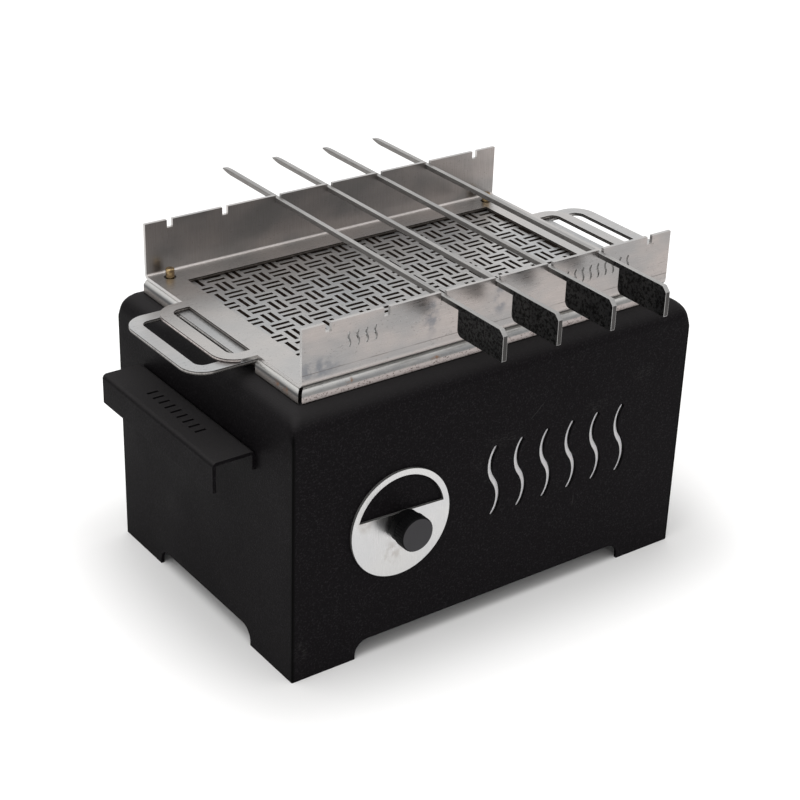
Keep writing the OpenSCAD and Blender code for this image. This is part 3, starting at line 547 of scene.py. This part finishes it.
def cut_wall(name, node, skin, core):
    """Cut face of a node's flat sheet: a dark line along each skin, partly the cut's burr and partly
    painted shadow of the gap where the sheet sits, a paler core.
    """
    wall = Finish(name, metallic=0.8, specular_ior_level=0.3)
    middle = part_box(node)[0].z + PLATE_SHEET / 2
    off = wall.apart(wall.axis("Z"), middle)
    streaks = wall.noise(1.1 * MM, stretch=(1, 1, 6), detail=2)
    streak_tone = tuple(0.6 * value for value in core)
    core_tone = wall.mix(wall.span(streaks, 0.35, 0.7), core, streak_tone)
    # The dark skins are partly painted shadow of the gap where the sheet sits
    wall.drive("Base Color", wall.mix(wall.span(off, 0.4 * MM, 0.85 * MM), core_tone, skin))
    wall.drive("Roughness", wall.span(streaks, 0.3, 0.7, 0.35, 0.5))
    wall.bump(streaks, 0.03 * MM)
    return wall.material


def sooty_steel(name, dark, light):
    """Steel browned and darkened by heat or by cutting."""
    soot = Finish(name, metallic=0.5, specular_ior_level=0.2)
    cloud = soot.noise(30 * MM, detail=4, soft=0.6)
    grit = soot.noise(1.2 * MM, detail=2)
    soot.drive("Base Color", soot.mix(soot.span(cloud, 0.35, 0.65), dark, light))
    soot.drive("Roughness", soot.span(grit, 0.3, 0.7, 0.5, 0.75))
    soot.bump(grit, 0.06 * MM)
    return soot.material


def fibre_board():
    """White pressed mineral fibre with short grey threads."""
    board = Finish("white_fibre_board", roughness=0.95, specular_ior_level=0.1)
    threads = board.noise(0.8 * MM, stretch=(3, 1, 1), detail=3)
    board.drive("Base Color", board.mix(board.span(threads, 0.45, 0.7), *BOARD_TONES))
    board.bump(threads, 0.1 * MM)
    return board.material


def brass():
    """Turned brass with fine tool rings."""
    metal = Finish("brass", metallic=1.0)
    rings = metal.noise(0.35 * MM, stretch=(12, 12, 1), detail=1)
    tarnish = metal.noise(3 * MM, detail=3)
    metal.drive("Base Color", metal.mix(metal.span(tarnish, 0.35, 0.7), *BRASS_TONES))
    metal.drive("Roughness", metal.span(rings, 0.3, 0.7, 0.22, 0.36))
    metal.bump(rings, 0.03 * MM)
    return metal.material


def knob_plastic(name, dark, light, sheen):
    """Moulded plastic with a soft sheen."""
    plastic = Finish(name, specular_ior_level=sheen)
    grain = plastic.noise(0.45 * MM, detail=2)
    cloud = plastic.noise(9 * MM, detail=2)
    plastic.drive("Base Color", plastic.mix(cloud, dark, light))
    plastic.drive("Roughness", plastic.span(grain, 0.3, 0.7, 0.4, 0.52))
    plastic.bump(grain, 0.02 * MM)
    return plastic.material


def plated_steel(name, light, dark, flake, roughness):
    """Zinc-coated steel with the coat's flakes."""
    zinc = Finish(name, metallic=1.0)
    cells = zinc.add("ShaderNodeTexVoronoi")
    cells.inputs["Scale"].default_value = 1 / flake
    zinc.feed(cells.inputs["Vector"], zinc.place)
    shade = zinc.axis("X", cells.outputs["Color"])
    zinc.drive("Base Color", zinc.mix(shade, light, dark))
    zinc.drive("Roughness", zinc.span(shade, 0.0, 1.0, roughness - 0.08, roughness + 0.08))
    zinc.bump(zinc.noise(2 * MM, detail=2), 0.02 * MM)
    return zinc.material


def black_oxide():
    """Blackened steel of the handle bolts."""
    oxide = Finish("black_fasteners", metallic=0.6)
    haze = oxide.noise(1.5 * MM, detail=3)
    oxide.drive("Base Color", oxide.mix(haze, *OXIDE_TONES))
    oxide.drive("Roughness", oxide.span(haze, 0.3, 0.7, 0.35, 0.5))
    return oxide.material


def make_finishes():
    """Every finish, by its name."""
    finish = {
        "black_powder_coat": powder_coat(),
        "white_fibre_board": fibre_board(),
        "brass": brass(),
        "black_fasteners": black_oxide(),
        "rim_steel": rim_steel(),
        "skewer_sides": skewer_sides(),
    }
    extras = {
        "flange_steel": {"painted_grip_reflections": FLANGE_GRIP_REFLECTIONS, "bend_foot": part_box("skewer_frame")[0].z},
        "disc_steel": {"stains": DISC_STAINS},
    }
    for name, values in SHEETS.items():
        finish[name] = sheet_steel(name, *values, **extras.get(name, {}))
    families = (
        (cut_wall, CUT_WALLS),
        (sooty_steel, SOOTY_STEELS),
        (plated_steel, ZINC_COATS),
        (knob_plastic, PLASTICS),
    )
    for make, table in families:
        for name, values in table.items():
            finish[name] = make(name, *values)
    return finish


def weld_mesh(node):
    """A CAD node's mesh in a new bmesh, with its flat areas joined up again."""
    shape = bmesh.new()
    shape.from_mesh(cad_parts[node].data)
    bmesh.ops.remove_doubles(shape, verts=shape.verts, dist=WELD_REACH)
    bmesh.ops.dissolve_limit(
        shape,
        angle_limit=math.radians(FLAT_ANGLE),
        verts=shape.verts,
        edges=shape.edges,
        use_dissolve_boundaries=False,
    )
    return shape


def break_edges(shape, width, angle=EDGE_ANGLE, segments=2):
    """Rounds each edge that turns by more than the angle."""
    least = math.radians(angle)
    sharp = [e for e in shape.edges if len(e.link_faces) == 2 and e.calc_face_angle(0) > least]
    bmesh.ops.bevel(
        shape,
        geom=sharp,
        offset=width,
        offset_type="OFFSET",
        segments=segments,
        profile=0.5,
        affect="EDGES",
        clamp_overlap=True,
        miter_outer="SHARP",
        miter_inner="SHARP",
    )


def piece_from(shape, name, node, body, materials):
    """Object that stands for a CAD node and rides on its body."""
    mesh = bpy.data.meshes.new(name)
    shape.to_mesh(mesh)
    shape.free()
    for material in materials:
        mesh.materials.append(material)
    for face in mesh.polygons:
        face.use_smooth = True
    mesh.set_sharp_from_angle(angle=math.radians(SMOOTH_ANGLE))
    piece = bpy.data.objects.new(name, mesh)
    bpy.context.scene.collection.objects.link(piece)
    weighted = piece.modifiers.new("even_shading", "WEIGHTED_NORMAL")
    weighted.keep_sharp = True
    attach(piece, body)
    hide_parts(node)


def dress_kept_nodes(finish):
    """Gives the CAD nodes that keep their shape their finish."""
    for name, nodes in KEPT_NODES.items():
        for node in nodes:
            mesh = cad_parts[node].data
            mesh.materials.clear()
            mesh.materials.append(finish[name])


def add_world():
    """White background; a pale dome, brighter overhead, lights the object."""
    world = bpy.data.worlds.new("studio")
    bpy.context.scene.world = world
    world.use_nodes = True
    tree = world.node_tree
    tree.nodes.clear()
    seen = tree.nodes.new("ShaderNodeBackground")
    seen.inputs["Color"].default_value = (1, 1, 1, 1)
    seen.inputs["Strength"].default_value = 1
    dome = tree.nodes.new("ShaderNodeBackground")
    dome.inputs["Color"].default_value = DOME_COLOUR
    split = tree.nodes.new("ShaderNodeSeparateXYZ")
    tree.links.new(tree.nodes.new("ShaderNodeTexCoord").outputs["Generated"], split.inputs[0])
    rise = tree.nodes.new("ShaderNodeMapRange")
    rise.inputs["To Min"].default_value = DOME_LOW
    rise.inputs["To Max"].default_value = DOME_HIGH
    tree.links.new(split.outputs["Z"], rise.inputs["Value"])
    tree.links.new(rise.outputs[0], dome.inputs["Strength"])
    mix = tree.nodes.new("ShaderNodeMixShader")
    out = tree.nodes.new("ShaderNodeOutputWorld")
    tree.links.new(join_rays(tree), mix.inputs[0])
    tree.links.new(dome.outputs[0], mix.inputs[1])
    tree.links.new(seen.outputs[0], mix.inputs[2])
    tree.links.new(mix.outputs[0], out.inputs[0])


def join_rays(tree):
    """1 for camera, glossy and transmission rays."""
    path = tree.nodes.new("ShaderNodeLightPath")
    shown = path.outputs["Is Camera Ray"]
    for name in ("Is Glossy Ray", "Is Transmission Ray"):
        either = tree.nodes.new("ShaderNodeMath")
        either.operation = "MAXIMUM"
        tree.links.new(shown, either.inputs[0])
        tree.links.new(path.outputs[name], either.inputs[1])
        shown = either.outputs[0]
    return shown


def add_floor():
    """Plain white floor that keeps the object's soft shadow, deepened by painted shadow near the
    housing's foot.
    """
    mesh = bpy.data.meshes.new("floor")
    half = FLOOR_SIZE / 2
    corners = [(-half, -half, 0), (half, -half, 0), (half, half, 0), (-half, half, 0)]
    mesh.from_pydata(corners, [], [(0, 1, 2, 3)])
    mesh.materials.append(floor_paper())
    floor = bpy.data.objects.new("floor", mesh)
    bpy.context.scene.collection.objects.link(floor)


def floor_paper():
    """White paper that is lifted to white away from the housing's foot; the weaker lift near the foot
    is painted shadow.
    """
    paper = Finish("white_floor", roughness=0.9, specular_ior_level=0.0)
    paper.drive("Base Color", (FLOOR_ALBEDO, FLOOR_ALBEDO, FLOOR_ALBEDO))
    squares = []
    for name, low, high in zip("XY", housing_low, housing_high):
        offset = paper.apart(paper.axis(name), (low + high) / 2)
        beyond = paper.math("SUBTRACT", offset, (high - low) / 2 - FLOOR_SHADE_INSET)
        squares.append(paper.math("POWER", paper.math("MAXIMUM", beyond, 0.0), 2.0))
    distance = paper.math("SQRT", paper.math("ADD", *squares))
    # The lift is weaker near the foot, which paints a shadow there
    lift = paper.span(
        distance, FLOOR_EDGE_FADE, FLOOR_SHADE_REACH, FLOOR_LIFT_NEAR, FLOOR_LIFT_FAR
    )
    open_floor = paper.times(paper.span(distance, 0.0, FLOOR_EDGE_FADE), lift)
    paper.drive("Emission Color", (1.0, 1.0, 1.0))
    paper.drive("Emission Strength", paper.times(open_floor, join_rays(paper.tree)))
    return paper.material


def add_lamp(name, place, size, power, aim):
    """Square soft lamp, placed and aimed in metres."""
    data = bpy.data.lights.new(name, "AREA")
    data.shape = "SQUARE"
    data.size = size
    data.energy = power
    lamp = bpy.data.objects.new(name, data)
    bpy.context.scene.collection.objects.link(lamp)
    lamp.location = place
    lamp.rotation_euler = (Vector(aim) - Vector(place)).to_track_quat("-Z", "Y").to_euler()


def add_lamps():
    """Key lamp from the left and a top lamp, both aimed at the deck."""
    aim = (housing_mid.x, housing_mid.y, housing_high.z)
    add_lamp("key_lamp", KEY_PLACE, KEY_SIZE, KEY_POWER, aim)
    add_lamp("top_lamp", TOP_PLACE, TOP_SIZE, TOP_POWER, aim)


def cut_plane(shape, faces, place, normal):
    """Cuts the given faces with a plane."""
    edges = {edge for face in faces for edge in face.edges}
    verts = {vertex for face in faces for vertex in face.verts}
    geometry = list(verts) + list(edges) + list(faces)
    bmesh.ops.bisect_plane(
        shape, geom=geometry, dist=CUT_REACH, plane_co=place, plane_no=normal
    )


def ease(share):
    """0 to 1 with a level start and end."""
    share = min(max(share, 0), 1)
    return share * share * (3 - 2 * share)


def blend_point(point, half):
    """Pulls a point of the housing's top corner in from the mitred corner to a rounded one."""
    drop = (housing_high.z - point.z) / BEND_RADIUS
    share = (housing_high.z - point.z) / BLEND_DEPTH
    if not 0 < share < 1:
        return
    inset = BEND_RADIUS * (1 - math.sqrt(max(0, 1 - (1 - drop) ** 2))) if drop < 1 else 0
    radius = BLEND_RADIUS * ease(share / BLEND_TOP_SHARE) * ease((1 - share) / BLEND_LOW_SHARE)
    hub = [half[axis] - inset - radius for axis in (0, 1)]
    beyond = [abs(point[axis] - housing_mid[axis]) - hub[axis] for axis in (0, 1)]
    if min(beyond) <= 0:
        return
    pull = max(beyond) / math.hypot(*beyond)
    for axis in (0, 1):
        side = math.copysign(1, point[axis] - housing_mid[axis])
        point[axis] = housing_mid[axis] + side * (hub[axis] + pull * beyond[axis])


def corner_faces(shape, reach, half):
    """Faces in the blended part of the housing's four top corners."""
    found = []
    for face in shape.faces:
        middle = face.calc_center_median()
        beyond = [half[axis] - abs(middle[axis] - housing_mid[axis]) for axis in (0, 1)]
        if max(beyond) < reach and housing_high.z - middle.z < BLEND_DEPTH:
            found.append(face)
    return found


def cut_round(shape, inset, half, find_faces):
    """Cuts the faces found with four upright planes, inset from the housing's walls."""
    for axis in (0, 1):
        normal = Vector((0, 0, 0))
        normal[axis] = 1
        for side in (-1, 1):
            place = housing_mid.copy()
            place[axis] += side * (half[axis] - inset)
            cut_plane(shape, find_faces(), place, normal)


def blend_top_corners(shape):
    """Rounds the welded corners where the rolled edges meet."""
    half = (housing_high - housing_low) / 2
    reach = BEND_RADIUS + BLEND_RADIUS + BLEND_STEP

    def near_corners():
        return corner_faces(shape, reach, half)

    cut_plane(shape, shape.faces[:], Vector((0, 0, housing_high.z - BLEND_DEPTH)), UP)
    cut_round(shape, reach, half, lambda: shape.faces[:])
    for step in range(1, int(reach / BLEND_STEP)):
        cut_round(shape, BLEND_STEP * step, half, near_corners)
    height = housing_high.z - BEND_RADIUS
    while height > housing_high.z - BLEND_DEPTH:
        cut_plane(shape, near_corners(), Vector((0, 0, height)), UP)
        height -= BLEND_STEP
    for vertex in shape.verts:
        blend_point(vertex.co, half)


def split_faces(shape, *tests):
    """Gives the faces that the first, second ... test picks the second, third ... material."""
    shape.normal_update()
    for face in shape.faces:
        middle = face.calc_center_median()
        picked = [number for number, test in enumerate(tests, 1) if test(middle, face.normal)]
        face.material_index = picked[0] if picked else 0


def inside_cut(middle, half):
    """Whether a point is inside a plan box round the housing's middle."""
    offset = middle - housing_mid
    return abs(offset.x) < half[0] and abs(offset.y) < half[1]


def pick(finish, *names):
    """The finishes with the given names."""
    return [finish[name] for name in names]


def housing_shell(finish):
    """Folded housing with its corners rounded."""
    shape = weld_mesh("outer_housing")
    blend_top_corners(shape)
    break_edges(shape, EDGE_WIDTH["outer_housing"])
    coat = pick(finish, "black_powder_coat")
    piece_from(shape, "housing_shell", "outer_housing", "housing", coat)


def carry_handles(finish):
    """Folded grips on the housing's two ends."""
    coat = pick(finish, "black_powder_coat")
    for side in ("left", "right"):
        node = side + "_carry_handle"
        shape = weld_mesh(node)
        break_edges(shape, EDGE_WIDTH["carry_handle"])
        piece_from(shape, side + "_handle_shell", node, "housing", coat)


def vent_plate(finish):
    """Brushed disc with darker cut edges."""
    shape = weld_mesh("vent_disc")
    break_edges(shape, EDGE_WIDTH["vent_disc"])
    split_faces(shape, lambda middle, normal: abs(normal.y) < 0.9)
    steels = pick(finish, "disc_steel", "cut_edges")
    piece_from(shape, "vent_plate", "vent_disc", "vent", steels)


def vent_grip(finish):
    """Ribbed knob with a smoother face; its sides are painted near-black as shade."""
    shape = weld_mesh("vent_knob")
    break_edges(shape, EDGE_WIDTH["vent_knob"], angle=KNOB_EDGE_ANGLE)
    split_faces(shape, lambda middle, normal: normal.y < -0.95)
    # The sides are painted near-black as shade
    plastics = pick(finish, "knob_shaded_sides", "knob_face")
    piece_from(shape, "vent_grip", "vent_knob", "vent", plastics)


def firebox(finish):
    """Rim in bright steel, the box below it darkened by heat."""
    shape = weld_mesh("firebox_liner")
    break_edges(shape, EDGE_WIDTH["firebox_liner"])
    dark_top = housing_high.z - FIREBOX_DARK_BELOW
    split_faces(shape, lambda middle, normal: middle.z < dark_top)
    steels = pick(finish, "rim_steel", "heat_darkened_inside")
    piece_from(shape, "firebox_sheet", "firebox_liner", "firebox", steels)


def grate_plate(finish):
    """Woven grate with slots browned by the cutter."""
    shape = weld_mesh("cooking_grate")
    break_edges(shape, EDGE_WIDTH["cooking_grate"], segments=1)

    def upright(middle, normal):
        return abs(normal.z) < 0.5

    def woven_slot(middle, normal):
        return upright(middle, normal) and inside_cut(middle, WOVEN_CUTS)

    split_faces(shape, woven_slot, upright)
    steels = pick(finish, "grate_steel", "burnt_edges", "grate_edges")
    piece_from(shape, "grate_plate", "cooking_grate", "grate", steels)


def brass_pins(finish):
    """Turned pins that locate the frame."""
    shape = weld_mesh("locating_pins")
    break_edges(shape, EDGE_WIDTH["locating_pins"])
    piece_from(shape, "brass_pins", "locating_pins", "grate", pick(finish, "brass"))


def skewer_rack(finish):
    """Notched frame; the inner face of its rear flange is painted darker as its dark reflection."""
    shape = weld_mesh("skewer_frame")
    break_edges(shape, EDGE_WIDTH["skewer_frame"])
    low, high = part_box("skewer_frame")
    plate_top = low.z + PLATE_SHEET
    rear = high.y - 1.5 * FLANGE_BEND

    def rear_bend(middle, normal):
        in_bend = plate_top - 0.1 * MM < middle.z < plate_top + FLANGE_BEND
        return middle.y > rear and in_bend and normal.y < -0.2 and normal.z > 0.2

    # Inner face of the rear flange, painted darker as its dark reflection
    def rear_inside(middle, normal):
        return middle.y > rear and normal.y < -0.3 and middle.z > plate_top

    def plate_wall(middle, normal):
        return low.z < middle.z < plate_top and abs(normal.z) < 0.5

    def window_wall(middle, normal):
        return plate_wall(middle, normal) and inside_cut(middle, WINDOW_CUT)

    def slot_wall(middle, normal):
        return plate_wall(middle, normal) and inside_cut(middle, FRAME_FINGER_CUTS)

    def end_wall(middle, normal):
        return plate_wall(middle, normal) and abs(normal.x) > 0.3

    def front_face(middle, normal):
        return middle.y < low.y + FLANGE_BEND and normal.y < -0.5

    split_faces(shape, rear_bend, rear_inside, window_wall, slot_wall, end_wall, front_face)
    steels = pick(
        finish, "frame_steel", "bend_steel", "shaded_rear_steel", "window_walls", "slot_walls",
        "frame_edges", "flange_steel",
    )
    piece_from(shape, "skewer_rack", "skewer_frame", "frame", steels)


def flat_skewers(finish):
    """Dark rolled sides, ground edges that are bright along their corners."""
    steels = pick(finish, "skewer_sides", "ground_steel", "skewer_ends", "bright_corners")
    for number, letter in enumerate("abcd", 1):
        node = "skewer_%d" % number
        shape = weld_mesh(node)
        break_edges(shape, EDGE_WIDTH["skewer"])
        split_faces(
            shape,
            lambda middle, normal: abs(normal.z) > 0.97,
            lambda middle, normal: normal.y < -0.97,
            lambda middle, normal: abs(normal.x) < 0.9,
        )
        piece_from(shape, "flat_" + node, node, "skewer_" + letter, steels)


def build():
    """Camera, light and floor, then every piece."""
    bpy.context.scene.view_settings.view_transform = "Standard"
    add_camera()
    add_world()
    add_floor()
    add_lamps()
    finish = make_finishes()
    pieces = (
        housing_shell, carry_handles, vent_plate, vent_grip, firebox, grate_plate, brass_pins,
        skewer_rack, flat_skewers,
    )
    for make in pieces:
        make(finish)
    dress_kept_nodes(finish)


build()
